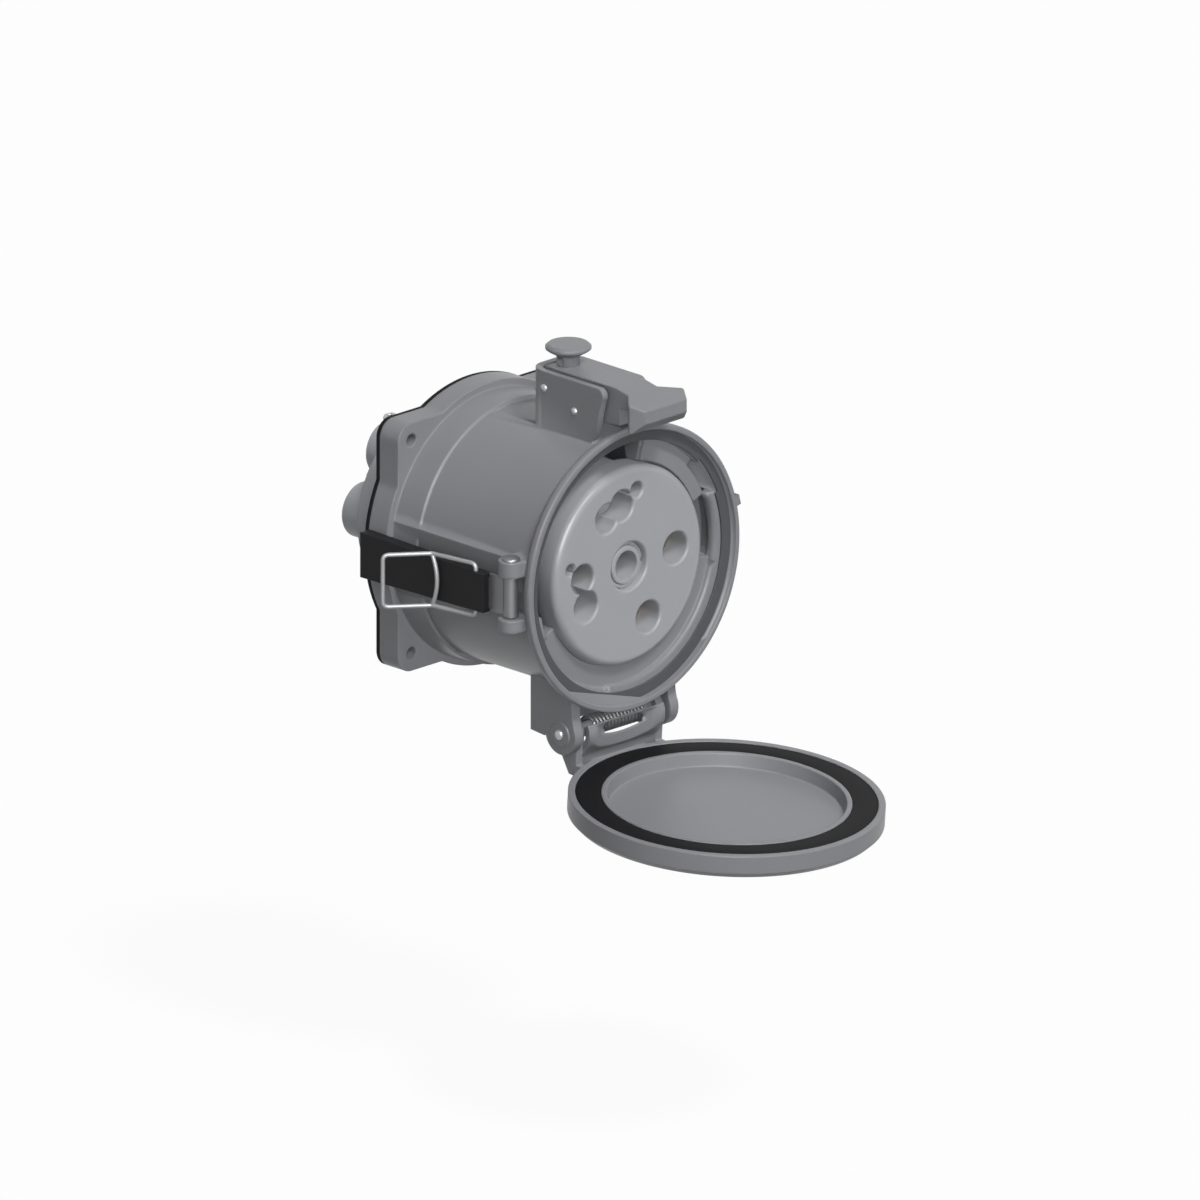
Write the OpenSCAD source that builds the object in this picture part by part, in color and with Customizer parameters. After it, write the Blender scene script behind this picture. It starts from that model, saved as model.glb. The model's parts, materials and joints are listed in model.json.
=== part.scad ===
// Industrial panel socket: a flanged cast housing with a turning safety disc,
// a sprung hinged lid, a push-button pawl latch and a side lever with a wire bail.
// Millimetres. +X right, +Y behind the panel, +Z up. The origin is the centre of the mounting face.

/* [Mounting flange] */
// Distance between neighbouring mounting holes
bolt_spacing = 110; // [108:0.5:112]
// Distance from a mounting hole's centre to the edge of the flange
bolt_edge = 9; // [8.5:0.1:9.5]
// Diameter of each mounting hole
bolt_hole_diameter = 6.6; // [5.5:0.1:7]
// Depth from the panel to the front of the flange
flange_front = 15.3; // [13:0.1:17]
// Thickness of the flange gasket
gasket_thickness = 2.5; // [1.5:0.1:3.5]

/* [Housing] */
// Radial room between the safety disc and the plug mouth
mouth_room = 12.6; // [12:0.1:13]
// Wall thickness of the round housing
housing_wall = 4.3; // [3.8:0.1:4.8]
// Depth of the sealing annulus behind the front of the rim
seal_recess = 3.6; // [3:0.1:4]
// Depth of the bayonet ledge behind the front of the rim
ledge_recess = 10.3; // [9:0.1:11]

/* [Safety disc] */
// Radius of the turning safety disc
disc_radius = 51; // [50:0.1:51.1]
// Thickness of the safety disc
disc_thickness = 14.5; // [12:0.1:14.5]
// Distance of the main poles from the centre
pole_radius = 32; // [31.6:0.1:32.4]
// Radius of each main pole hole
pole_hole_radius = 8.1; // [7.4:0.1:8.3]

/* [Contacts] */
// Outer radius of a sleeve contact
contact_radius = 7.4; // [6.6:0.1:7.6]
// Bore radius of a sleeve contact
contact_bore = 5.6; // [4.5:0.1:5.8]
// Outer radius of a terminal barrel
barrel_radius = 14; // [12.5:0.1:14.4]
// Distance that the terminal barrels stand out behind the panel
barrel_reach = 42; // [36:1:48]

/* [Latch] */
// Half width across the latch cheeks
cheek_half_width = 15; // [14:0.1:16]
// Thickness of each latch cheek
cheek_wall = 3.5; // [3:0.1:4]
// Half width of the pawl head
head_half_width = 18.7; // [17:0.1:20]
// Radius of the push button head
button_radius = 11.4; // [10:0.1:12]

/* [Lid] */
// Radial overhang of the lid past the rim
lid_overhang = 5.1; // [4.5:0.1:5.4]
// Thickness of the lid
lid_thickness = 11.8; // [10.5:0.1:12]
// Angle of the lid in the open position
lid_open_angle = 94.2; // [0:0.1:94.2]
// Turns of the hinge spring
hinge_spring_turns = 15; // [10:1:15]

/* [Side lever] */
// Height of the middle of the lever
lever_height = -1; // [-2:0.1:0]
// Width of the lever sleeve at its front end
sleeve_front_width = 19.5; // [18:0.1:20]
// Width of the lever sleeve at its rear end
sleeve_rear_width = 23.2; // [21:0.1:23.4]
// Thickness of the wire bail
bail_wire = 2.2; // [1.8:0.1:2.4]

/* [Hidden] */
$fn = 96;
slip = 0.05;        // radial clearance of a turning fit
gap = 0.3;          // clearance between moving faces

mouth_radius = disc_radius + mouth_room;
bore_radius = mouth_radius - 2.1;
inner_ledge_radius = mouth_radius - 4.1;
housing_radius = bore_radius + housing_wall;
lobe_radius = housing_radius + 6.5;
collar_radius = housing_radius + 2.1;
flange_width = bolt_spacing + 2 * bolt_edge;
seal_width = 6.1;
lip_thickness = 3.1;
lip_inner_radius = mouth_radius + seal_width;
rim_radius = lip_inner_radius + lip_thickness;
lid_radius = rim_radius + lid_overhang;
rim_front = 115.3;
seal_front = rim_front - seal_recess;
seal_thickness = 1.2;
// Flat land that interrupts the seal, as [distance from the centre, direction].
seal_land = [mouth_radius + 0.8, 253.6];
ledge_front = rim_front - ledge_recess;
ledge_back = ledge_front - 7;
lug_depth = ledge_front - 1.5;
track_radius = mouth_radius - 2.4;
disc_front = 111.5;
disc_back = disc_front - disc_thickness;

// Pole holes of the disc as [x, height].
pole_b = [pole_radius * cos(3.2), pole_radius * sin(3.2)];
pole_c = [pole_radius * cos(-65.8), pole_radius * sin(-65.8)];
pole_a = [pole_radius * cos(118.8), pole_radius * sin(118.8)];
pole_d = [pole_radius * cos(179.1), pole_radius * sin(179.1)];
second_a = pole_a + [10.4, 4.3];
second_d = pole_d + [2.4, -14.5];
pilot_a = pole_a + [20.6, 10.1];
pilot_d = pole_d + [-8.3, 6.6];
outer_poles = [pole_a, pole_b, pole_c, pole_d];
poles = concat(outer_poles, [[0, 0]]);

// Contact carrier
carrier_radius = 49;
carrier_front = disc_back - 0.6;
carrier_rear = -28;
carrier_flange_radius = 58;
carrier_flange_thickness = 6;
web_back = 30;
web_thickness = 9;
web_bore = carrier_radius + 1;
ring_thickness = 4;
carrier_screw_circle = 54.5;
carrier_screw_radius = 2;
spigot_radius = 10;
spigot_bore = 7.4;
spigot_front = disc_front - 2.2;
retainer_seat = disc_front - 5;
retainer_thickness = 1.2;
counterbore_radius = 12.2;
wire_bore = 4.5;
terminal_screw_radius = 2.5;
terminal_screw_depth = -barrel_reach + 6;
// Direction of the clamp screw of each pole, in the order of the poles.
screw_angles = [100, 60, -80, 84, 61];

// Latch, as [depth, height] of each axis
latch_rise = rim_radius - 72.8;
cheek_rear = 55.8;
cheek_top = 93.5;
cheek_corner = 9.5;
stop_pin_at = [67.3, 85];
stop_pin_radius = 2;
latch_pin_at = [88.5, 78.1];
latch_pin_radius = 1.9;
arm_half_width = 10;
arm_top = 94.4;
arm_rear = 63.5;
button_at = 69;
button_stem_radius = 5.9;
latch_spring_at = 75.5;
latch_spring_radius = 4.2;

// Lid hinge, as [depth, height]
hinge_at = [99.3, -rim_radius - 8.5];
hinge_pin_radius = 2.6;
hinge_cheek_inner = 30;
hinge_cheek_outer = 35.5;
groove_outer = lid_radius - 3.5;
groove_inner = lid_radius - 16.4;
ear_inner = 25;
ear_outer = 29.5;

// Side lever, as [x, depth]
lever_side = -housing_radius;
lever_pin_at = [lever_side - 7.2, 102.8];
lever_pin_radius = 2;
ear_radius = 6.4;
knuckle_radius = 3.8;
knuckle_height = 20.2;
strip_thickness = 1.2;
strip_height = 15.6;
strip_outer = lever_side - 9.2;
sleeve_outer = lever_side - 13.2;
sleeve_inner = -lobe_radius - gap;
sleeve_front = 89.3;
sleeve_rear = 4;
bail_pivot = [lever_side - 10.8, 82];
bail_kink = [lever_side - 14.7, 55.5];
bail_end = [lever_side - 33.7, 40.5];
bail_half_width = 13.4;

grey_cast = [0.52, 0.53, 0.54];
grey_light = [0.63, 0.64, 0.66];
grey_seal = [0.36, 0.36, 0.38];
black_rubber = [0.08, 0.08, 0.09];
steel = [0.66, 0.67, 0.68];
brass = [0.72, 0.6, 0.34];
insulator = [0.6, 0.61, 0.62];

// Piece to draw

// ---------------------------------------------------------------- helpers

// Stands the children up from the panel: x right, y up, z out of the panel.
module face() {
    rotate([90, 0, 0]) children();
}

// Extrudes a [depth, height] outline along the width, centred on x.
module sideways(width, x = 0) {
    translate([x + width / 2, 0, 0]) rotate([0, -90, 0]) linear_extrude(width) children();
}

// A bar along the width through a [depth, height] point.
module cross_pin(at, radius, half_length, x = 0) {
    translate([x, at[1], at[0]]) rotate([0, 90, 0])
        cylinder(r = radius, h = 2 * half_length, center = true);
}

// An upright bar through an [x, depth] point.
module upright_pin(at, radius, low, high) {
    translate([at[0], low, at[1]]) rotate([-90, 0, 0]) cylinder(r = radius, h = high - low);
}

module tube(outer, inner, low, high) {
    translate([0, 0, low]) difference() {
        cylinder(r = outer, h = high - low);
        translate([0, 0, -1]) cylinder(r = inner, h = high - low + 2);
    }
}

module sector(inner, outer, from, to, low, high) {
    rotate([0, 0, from]) rotate_extrude(angle = to - from)
        translate([inner, low]) square([outer - inner, high - low]);
}

module rounded_square(width, radius) {
    square([width, width - 2 * radius], center = true);
    square([width - 2 * radius, width], center = true);
    for (x = [-1, 1], y = [-1, 1])
        translate([x * (width / 2 - radius), y * (width / 2 - radius)]) circle(radius);
}

// A straight round rod between two points.
module rod(from, to, radius) {
    d = to - from;
    length = norm(d);
    translate(from) rotate([0, acos(d[2] / length), atan2(d[1], d[0])])
        cylinder(r = radius, h = length);
}

// A round wire wound about the z axis, with a straight leg at each end.
module coil(radius, wire, pitch, turns, start_leg, end_leg, steps = 16, sides = 6) {
    count = floor(turns * steps);
    function spot(i) = let (a = i * 360 / steps) [radius * cos(a), radius * sin(a), i * pitch / steps];
    function away(i) = let (a = i * 360 / steps) [cos(a), sin(a), 0];
    function along(i) = let (a = i * 360 / steps) [-sin(a), cos(a), 0];
    centres = concat(
        [spot(0) - start_leg * along(0)],
        [for (i = [0:count]) spot(i)],
        [spot(count) + end_leg * along(count)]);
    outwards = concat([away(0)], [for (i = [0:count]) away(i)], [away(count)]);
    rings = len(centres);
    points = [for (k = [0:rings - 1], j = [0:sides - 1]) let (b = j * 360 / sides)
        centres[k] + wire * (cos(b) * outwards[k] + sin(b) * [0, 0, 1])];
    walls = [for (k = [0:rings - 2], j = [0:sides - 1]) let (n = (j + 1) % sides)
        [k * sides + j, k * sides + n, (k + 1) * sides + n, (k + 1) * sides + j]];
    first = [for (j = [sides - 1:-1:0]) j];
    last = [for (j = [0:sides - 1]) (rings - 1) * sides + j];
    polyhedron(points = points, faces = concat([first], walls, [last]), convexity = 10);
}

module bolt_holes(radius) {
    for (x = [-1, 1], y = [-1, 1])
        translate([x * bolt_spacing / 2, y * bolt_spacing / 2, -1]) cylinder(r = radius, h = 60);
}

module flange_outline() {
    rounded_square(flange_width, 9);
    circle(lobe_radius);
}

// ---------------------------------------------------------------- housing

// Outer shape of the round housing and its rim.
module housing_outside() {
    rotate_extrude() polygon([
        [0, gasket_thickness], [collar_radius + 0.7, gasket_thickness],
        [collar_radius + 0.7, flange_front - 1], [collar_radius, 31.8], [housing_radius, 32.4],
        [housing_radius, 106.8], [rim_radius - 2.2, 108.9], [rim_radius, rim_front - 3.4], [rim_radius, rim_front - 0.8],
        [rim_radius - 0.8, rim_front], [0, rim_front]]);
}

// Hollow of the housing: the mouth, the ledge ring and the chambers behind it.
module housing_inside() {
    rotate_extrude() polygon([
        [0, 0], [carrier_flange_radius + 1.2, 0], [carrier_flange_radius + 1.2, web_back],
        [web_bore, web_back], [web_bore, web_back + web_thickness],
        [bore_radius, web_back + web_thickness + 3], [bore_radius, ledge_back - 5],
        [disc_radius + 0.4, ledge_back], [disc_radius + 0.4, ledge_front],
        [mouth_radius - 1.6, ledge_front], [mouth_radius, ledge_front + 1.6],
        [mouth_radius, seal_front - seal_thickness],
        [lip_inner_radius, seal_front - seal_thickness],
        [lip_inner_radius, rim_front + 1], [0, rim_front + 1]]);
}

module bayonet_track() {
    // entry slot, open to the mouth
    sector(inner_ledge_radius - 0.1, mouth_radius + 1.4, 22, 42, ledge_back - 4, seal_front + 1);
    // room beside the disc along the locking track
    sector(disc_radius + 0.9, track_radius, -10, 22.6, ledge_back - 6, seal_front + 2);
    // groove that the plug's lugs turn in
    sector(track_radius - 0.4, mouth_radius + 0.9, -9.4, 22.8, ledge_back - 2, lug_depth);
    // open side, without a ledge
    sector(disc_radius - 1, bore_radius - 0.1, 77.5, 206, ledge_back - 5.4, ledge_front + 3);
}

module bayonet_steps() {
    // lip in front of the lug groove
    sector(track_radius + 0.1, mouth_radius + 1.1, -11, 21.7, lug_depth - 0.15, seal_front - 1.3);
    // raised lip of the lower right quarter
    sector(track_radius + 0.2, mouth_radius + 1.2, -100, -10, ledge_back - 1, seal_front - 1.4);
    // upper ledge
    sector(disc_radius + 1.2, inner_ledge_radius, 23.5, 77, ledge_back - 0.4, ledge_front + 2.4);
    // wall outside the upper ledge
    sector(inner_ledge_radius - 0.6, mouth_radius + 1, 43, 76.5, ledge_back - 2, ledge_front + 2.3);
    // index bump on the left
    sector(mouth_radius - 2.8, mouth_radius + 0.9, 192, 204, ledge_back - 3, seal_front - 1.5);
    // flat land between the ends of the seal
    intersection() {
        tube(lip_inner_radius + 0.5, mouth_radius, seal_front - seal_thickness - 1, seal_front - 0.05);
        seal_land_block(0);
    }
}

// Everything beyond the chord of the flat land.
module seal_land_block(clearance) {
    rotate([0, 0, seal_land[1]]) translate([seal_land[0] - clearance, -60, 80])
        cube([20, 120, 60]);
}

module latch_cheeks() {
    side = cheek_half_width - cheek_corner;
    inner = cheek_half_width - cheek_wall;
    inner_corner = cheek_corner - cheek_wall;
    translate([0, latch_rise, 0]) difference() {
        intersection() {
            // plan of the housing around the pawl
            union() {
                translate([-cheek_half_width, 55, cheek_rear + cheek_corner])
                    cube([2 * cheek_half_width, 50, 60]);
                translate([-side, 55, cheek_rear]) cube([2 * side, 50, 60]);
                for (x = [-side, side])
                    upright_pin([x, cheek_rear + cheek_corner], cheek_corner, 55, 105);
            }
            // side outline of the cheeks
            union() {
                sideways(2 * cheek_half_width + 2) polygon([
                    [cheek_rear, 58], [cheek_rear, cheek_top], [104.2, cheek_top],
                    [108.2, 89.5], [106.2, 83], [103.7, 70.5], [100.5, 65.5], [98, 58]]);
                cross_pin([104.2, cheek_top - 4], 4, cheek_half_width + 1);
            }
        }
        translate([-inner, 50, cheek_rear + cheek_corner]) cube([2 * inner, 60, 80]);
        translate([-side, 49, cheek_rear + cheek_wall]) cube([2 * side, 62, 80]);
        for (x = [-side, side])
            upright_pin([x, cheek_rear + cheek_corner], inner_corner, 48, 112);
    }
}

module hinge_cheek_outline() {
    translate(hinge_at) {
        polygon([
            [-20.7, 31.3], [-20.7, -2.2], [-11.1, -3.1], [-6.3, 0], [10.2, 0],
            [8.3, 9.3], [7.2, 31.3]]);
        circle(10.5);
    }
}

module hinge_cheeks() {
    width = hinge_cheek_outer - hinge_cheek_inner;
    for (side = [-1, 1])
        sideways(width, side * (hinge_cheek_inner + width / 2)) hinge_cheek_outline();
    // pin bosses
    for (side = [-1, 1])
        translate([side * hinge_cheek_outer, hinge_at[1], hinge_at[0]]) rotate([0, side * 90, 0])
            translate([0, 0, -1]) cylinder(r = 6.3, h = 1.8);
    // back web between the cheeks
    sideways(2 * hinge_cheek_inner + 2) translate(hinge_at)
        polygon([[-20.6, 27.3], [-20.6, -2.1], [-16.9, -2.1], [-14.9, 27.3]]);
}

module lever_ears() {
    for (low_high = [[10.6, 18.5], [-17.8, -11.4]]) {
        translate([0, low_high[0], 0]) rotate([-90, 0, 0]) linear_extrude(low_high[1] - low_high[0])
            mirror([0, 1]) union() {
                translate([lever_pin_at[0], lever_pin_at[1]]) circle(ear_radius);
                translate([lever_pin_at[0], lever_pin_at[1] - ear_radius])
                    square([11, 2 * ear_radius]);
            }
    }
    // flat pad along the side of the housing
    translate([lever_side - 1, -18, gasket_thickness]) cube([6.5, 34.2, 93]);
}

module body_casting($fn = 80) color(grey_cast) face() {
    difference() {
        union() {
            difference() {
                union() {
                    housing_outside();
                    translate([0, 0, gasket_thickness])
                        linear_extrude(flange_front - gasket_thickness) flange_outline();
                    lever_ears();
                    latch_cheeks();
                    hinge_cheeks();
                    // key lug on the rim
                    rotate([0, 0, 14.2]) translate([rim_radius - 1.5, -2.6, rim_front - 3.5])
                        cube([3.6, 5.2, 3.3]);
                }
                housing_inside();
                bayonet_track();
            }
            bayonet_steps();
        }
        translate([0, 0, gasket_thickness]) bolt_holes(bolt_hole_diameter / 2);
        translate([0, latch_rise, 0]) {
            cross_pin(latch_pin_at, latch_pin_radius, cheek_half_width + 2);
            cross_pin(stop_pin_at, stop_pin_radius, cheek_half_width + 2);
        }
        cross_pin(hinge_at, hinge_pin_radius, hinge_cheek_outer + 3);
        upright_pin(lever_pin_at, lever_pin_radius, -30, 30);
        for (a = [45:90:315])
            rotate([0, 0, a]) translate([carrier_screw_circle, 0, web_back - 1])
                cylinder(r = carrier_screw_radius, h = web_thickness);
    }
}

module flange_gasket() color(black_rubber) face() {
    difference() {
        linear_extrude(gasket_thickness) flange_outline();
        translate([0, 0, -1]) cylinder(r = carrier_flange_radius + 1.2, h = 10);
        bolt_holes(bolt_hole_diameter / 2);
    }
}

module rim_seal() color(grey_seal) face() {
    difference() {
        tube(lip_inner_radius - slip, mouth_radius, seal_front - seal_thickness, seal_front);
        sector(mouth_radius - 1, mouth_radius + 1.6, 21.8, 42.2, seal_front - 3, seal_front + 1);
        seal_land_block(0.05);
    }
}

// ---------------------------------------------------------------- contact block

module composite_hole(big, second, pilot, pilot_radius, low, high) {
    for (hole = [[big, 7.5], [second, 7.9], [pilot, pilot_radius]])
        translate([hole[0][0], hole[0][1], low]) cylinder(r = hole[1], h = high - low);
    middle = (second + pilot) / 2;
    translate([middle[0], middle[1], low]) cylinder(r = 1.5, h = high - low);
}

module safety_disc() color(grey_light) face() {
    difference() {
        rotate_extrude() {
            polygon([[0, disc_back], [disc_radius - 1, disc_back], [disc_radius, disc_back + 1],
                [disc_radius, disc_front - 4], [disc_radius - 4, disc_front], [0, disc_front]]);
            translate([disc_radius - 4, disc_front - 4]) circle(4);
        }
        translate([0, 0, disc_back - 1]) cylinder(r = spigot_radius + slip, h = 30);
        translate([0, 0, retainer_seat]) cylinder(r = counterbore_radius, h = 30);
        for (p = [pole_b, pole_c])
            translate([p[0], p[1], disc_back - 1]) cylinder(r = pole_hole_radius, h = 30);
        composite_hole(pole_a, second_a, pilot_a, 4, disc_back - 1, disc_front + 1);
        composite_hole(pole_d, second_d, pilot_d, 3, disc_back - 1, disc_front + 1);
    }
}

module disc_retainer() color(grey_light) face() {
    difference() {
        tube(counterbore_radius - gap, spigot_radius + 0.02, retainer_seat + gap,
            retainer_seat + gap + retainer_thickness);
        translate([0, -1, retainer_seat]) cube([20, 2, 5]);
    }
}

module terminal_barrels() {
    for (p = poles)
        translate([p[0], p[1], -barrel_reach]) cylinder(r = barrel_radius, h = barrel_reach + carrier_rear + 1);
}

module at_terminals() {
    for (i = [0:len(poles) - 1])
        translate([poles[i][0], poles[i][1], terminal_screw_depth]) rotate([0, 0, screw_angles[i]])
            rotate([0, 90, 0]) children();
}

module contact_carrier() color(insulator) face() {
    difference() {
        union() {
            translate([0, 0, carrier_rear]) cylinder(r = carrier_radius, h = 90);
            translate([0, 0, 60]) cylinder(r = carrier_radius - 2, h = carrier_front - 60);
            translate([0, 0, web_back - carrier_flange_thickness])
                cylinder(r = carrier_flange_radius, h = carrier_flange_thickness);
            rotate_extrude() polygon([
                [0, carrier_front - 1], [spigot_radius, carrier_front - 1],
                [spigot_radius, spigot_front - 1.2], [spigot_radius - 0.4, spigot_front - 0.4],
                [spigot_radius - 1.2, spigot_front], [0, spigot_front]]);
            terminal_barrels();
        }
        translate([0, 0, carrier_front - 22]) cylinder(r = spigot_bore, h = 60);
        for (p = outer_poles) {
            translate([p[0], p[1], -barrel_reach - 1]) cylinder(r = contact_radius, h = 200);
            translate([p[0], p[1], carrier_front - 1.4]) cylinder(r = contact_radius + 2, h = 5);
        }
        translate([0, 0, -barrel_reach - 1]) cylinder(r = contact_radius - 0.6, h = 200);
        for (p = [pilot_a, pilot_d])
            translate([p[0], p[1], carrier_front - 30]) cylinder(r = 2.4, h = 40);
        for (a = [45:90:315])
            rotate([0, 0, a]) translate([carrier_screw_circle, 0, 0])
                cylinder(r = carrier_screw_radius + 0.3, h = 60);
        at_terminals() cylinder(r = terminal_screw_radius, h = barrel_radius + 1);
    }
}

module carrier_ring() color(steel) face() {
    top = web_back - carrier_flange_thickness;
    difference() {
        tube(carrier_flange_radius, carrier_radius + 0.5, top - ring_thickness, top);
        for (a = [45:90:315])
            rotate([0, 0, a]) translate([carrier_screw_circle, 0, 0])
                cylinder(r = carrier_screw_radius + 0.3, h = 60);
    }
}

module carrier_screws() color(steel) face() {
    back = web_back - carrier_flange_thickness - ring_thickness;
    for (a = [45:90:315])
        rotate([0, 0, a]) translate([carrier_screw_circle, 0, back]) difference() {
            union() {
                translate([0, 0, -3.2]) cylinder(r = 3.4, h = 3.2);
                translate([0, 0, -0.5]) cylinder(r = carrier_screw_radius - 0.02, h = 17);
            }
            translate([0, 0, -4]) cylinder(r = 1.7, h = 2.6, $fn = 6);
        }
}

// A sleeve contact with its wire socket.
module sleeve_contact(radius, front) {
    difference() {
        translate([0, 0, -barrel_reach + 1]) cylinder(r = radius, h = front + barrel_reach - 1);
        translate([0, 0, front - 42]) cylinder(r = contact_bore, h = 50);
        translate([0, 0, -barrel_reach]) cylinder(r = wire_bore, h = 22);
    }
}

module contact_at(i) {
    difference() {
        translate([poles[i][0], poles[i][1], 0])
            sleeve_contact(contact_radius - 0.03, carrier_front - 1);
        translate([poles[i][0], poles[i][1], terminal_screw_depth]) rotate([0, 0, screw_angles[i]])
            rotate([0, 90, 0]) cylinder(r = terminal_screw_radius, h = barrel_radius);
    }
}

module phase_contacts() color(brass) face() {
    for (i = [0:2]) contact_at(i);
}

module neutral_contact() color(brass) face() contact_at(3);

module earth_contact() color(brass) face() {
    difference() {
        translate([0, 0, -barrel_reach + 1])
            cylinder(r = contact_radius - 0.63, h = carrier_front - 22 + barrel_reach - 1.5);
        translate([0, 0, carrier_front - 60]) cylinder(r = contact_bore - 0.4, h = 60);
        translate([0, 0, -barrel_reach]) cylinder(r = wire_bore, h = 22);
        translate([0, 0, terminal_screw_depth]) rotate([0, 0, screw_angles[4]])
            rotate([0, 90, 0]) cylinder(r = terminal_screw_radius, h = barrel_radius);
    }
}

module pilot_contacts() color(brass) face() {
    for (p = [pilot_a, pilot_d])
        translate([p[0], p[1], 0]) tube(2.38, 1.3, carrier_front - 29.5, carrier_front - 2);
}

module contact_clips() color(steel) face() {
    for (p = outer_poles)
        translate([p[0], p[1], 0]) difference() {
            tube(contact_radius + 1.9, contact_radius, carrier_front - 1.38, carrier_front - 0.4);
            translate([0, -1, carrier_front - 3]) cube([20, 2, 5]);
        }
}

module terminal_screws() color(steel) face() {
    at_terminals() difference() {
        union() {
            translate([0, 0, 5]) cylinder(r = terminal_screw_radius - 0.03, h = barrel_radius - 4);
            translate([0, 0, barrel_radius + 0.2]) cylinder(r = 3.6, h = 5, $fn = 6);
        }
        translate([0, 0, barrel_radius + 3.2]) cylinder(r = 1.6, h = 3, $fn = 6);
    }
}

// ---------------------------------------------------------------- latch

// Upright block with the pawl's plan.
module pawl_plan() {
    side = head_half_width - 4.5;
    translate([-arm_half_width, 65, arm_rear]) cube([2 * arm_half_width, 40, 60]);
    translate([0, 65, 0]) rotate([-90, 0, 0]) linear_extrude(40) mirror([0, 1]) polygon([
        [-arm_half_width, 120.5], [-head_half_width, 129.5], [-head_half_width, 130.5],
        [-side, 137], [side, 137], [head_half_width, 130.5], [head_half_width, 129.5],
        [arm_half_width, 120.5]]);
}

module latch_pawl() color(grey_cast) face() translate([0, latch_rise, 0]) {
    difference() {
        intersection() {
            union() pawl_plan();
            union() {
                sideways(60) polygon([
                    [arm_rear, 90.8], [arm_rear, arm_top], [112, arm_top], [120.5, 92.7],
                    [129, 92], [137, 89], [137, 82.5], [131.2, 77.2], [129.4, 76.2],
                    [127.7, 76.2], [127.7, 78.9], [121.4, 78.9], [120.6, 84.6],
                    [rim_front - 0.4, 84.6], [rim_front - 0.4, 75.7], [97, 74],
                    [92, 73.5], [84.6, 74.4], [82.8, 77], [82.8, 88.6], [80.6, 90.8]]);
                cross_pin(latch_pin_at, 6, 30);
            }
        }
        cross_pin(latch_pin_at, latch_pin_radius + slip, 30);
        // seat of the push button
        upright_pin([0, button_at], 3, 80, 110);
        // spring cup
        upright_pin([0, latch_spring_at], latch_spring_radius + 1, 80, 91.8);
        // sloped lower corners of the head
        for (side = [-1, 1])
            translate([side * (head_half_width + 0.2), 79.6, 112]) rotate([0, 0, side * 24])
                translate([side * 10 - 10, -10, 0]) cube([20, 10, 30]);
    }
}

module push_button() color(steel) face() translate([0, latch_rise, 0]) {
    difference() {
        translate([0, 0, button_at]) rotate([-90, 0, 0]) union() {
            translate([0, 0, arm_top - 3]) cylinder(r = 2.98, h = 4);
            rotate_extrude() polygon([
                [0, arm_top], [button_stem_radius, arm_top], [button_stem_radius, 99.2],
                [button_radius - 1, 101.8], [button_radius, 102.6], [button_radius, 103.8],
                [button_radius - 1.4, 105], [0, 105]]);
        }
        cross_pin([button_at, 96.8], 2.1, 10);
    }
}

// A pin with domed ends.
module domed_pin(radius, half_length) {
    rotate([0, 90, 0]) rotate_extrude() polygon([
        [0, -half_length], [radius * 0.6, -half_length + 0.15 * radius],
        [radius, -half_length + 0.6 * radius], [radius, half_length - 0.6 * radius],
        [radius * 0.6, half_length - 0.15 * radius], [0, half_length]]);
}

module latch_pin() color(steel) face() {
    translate([0, latch_pin_at[1] + latch_rise, latch_pin_at[0]])
        domed_pin(latch_pin_radius - 0.02, cheek_half_width + 1.2);
}

module stop_pin() color(steel) face() {
    translate([0, stop_pin_at[1] + latch_rise, stop_pin_at[0]])
        domed_pin(stop_pin_radius - 0.02, cheek_half_width + 1);
}

module latch_spring() color(steel) face() {
    translate([0, housing_radius + 0.75, latch_spring_at]) rotate([-90, 0, 0])
        coil(latch_spring_radius, 0.6, 3.65, 6.5, 0, 0, 14, 6);
}

// ---------------------------------------------------------------- lid

// Draws the children, made in the closed position, at the open angle.
module opened() {
    translate([0, hinge_at[1], hinge_at[0]]) rotate([lid_open_angle, 0, 0])
        translate([0, -hinge_at[1], -hinge_at[0]]) children();
}

module lid() color(grey_cast) face() opened() {
    difference() {
        union() {
            translate([0, 0, rim_front]) rotate_extrude() polygon([
                [0, 0], [lid_radius, 0], [lid_radius, lid_thickness - 2.5],
                [lid_radius - 2.5, lid_thickness], [0, lid_thickness]]);
            // ears and the plate that joins them
            for (side = [-1, 1])
                sideways(ear_outer - ear_inner, side * (ear_outer + ear_inner) / 2) {
                    translate(hinge_at) circle(6.4);
                    translate(hinge_at) polygon([
                        [-5.9, 2.4], [-3.3, -5.7], [4.7, -9.2], [12.7, -4.7], [21.7, 1.3],
                        [21.7, 12.8], [16.1, 12.8], [16.1, 6.1], [4.7, 6.1], [2, 6]]);
                }
            sideways(2 * ear_inner + 2) translate(hinge_at) polygon([
                [-3.6, 7.1], [-5.1, 9.4], [-2.4, 10.7], [3.1, 11], [7.7, 9.1], [11.7, 5.9],
                [16.1, 5.3], [20.7, 5.3], [20.7, 1.7], [10.7, 2.3], [6.6, 5.3], [2.1, 8], [-1.2, 8]]);
        }
        translate([0, 0, rim_front]) rotate_extrude() {
            // gasket groove
            translate([groove_inner, -20]) square([groove_outer - groove_inner, 21.8]);
            // recess inside the raised ring
            polygon([
                [0, -20], [groove_inner - 2.5, -20], [groove_inner - 2.5, 0],
                [groove_inner - 3.8, 6.7], [0, 6.7]]);
        }
        cross_pin(hinge_at, hinge_pin_radius + slip, 60);
    }
}

module lid_gasket() color(black_rubber) face() opened() {
    tube(groove_outer - slip, groove_inner + slip, rim_front + 0.3, rim_front + 1.8);
}

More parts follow.
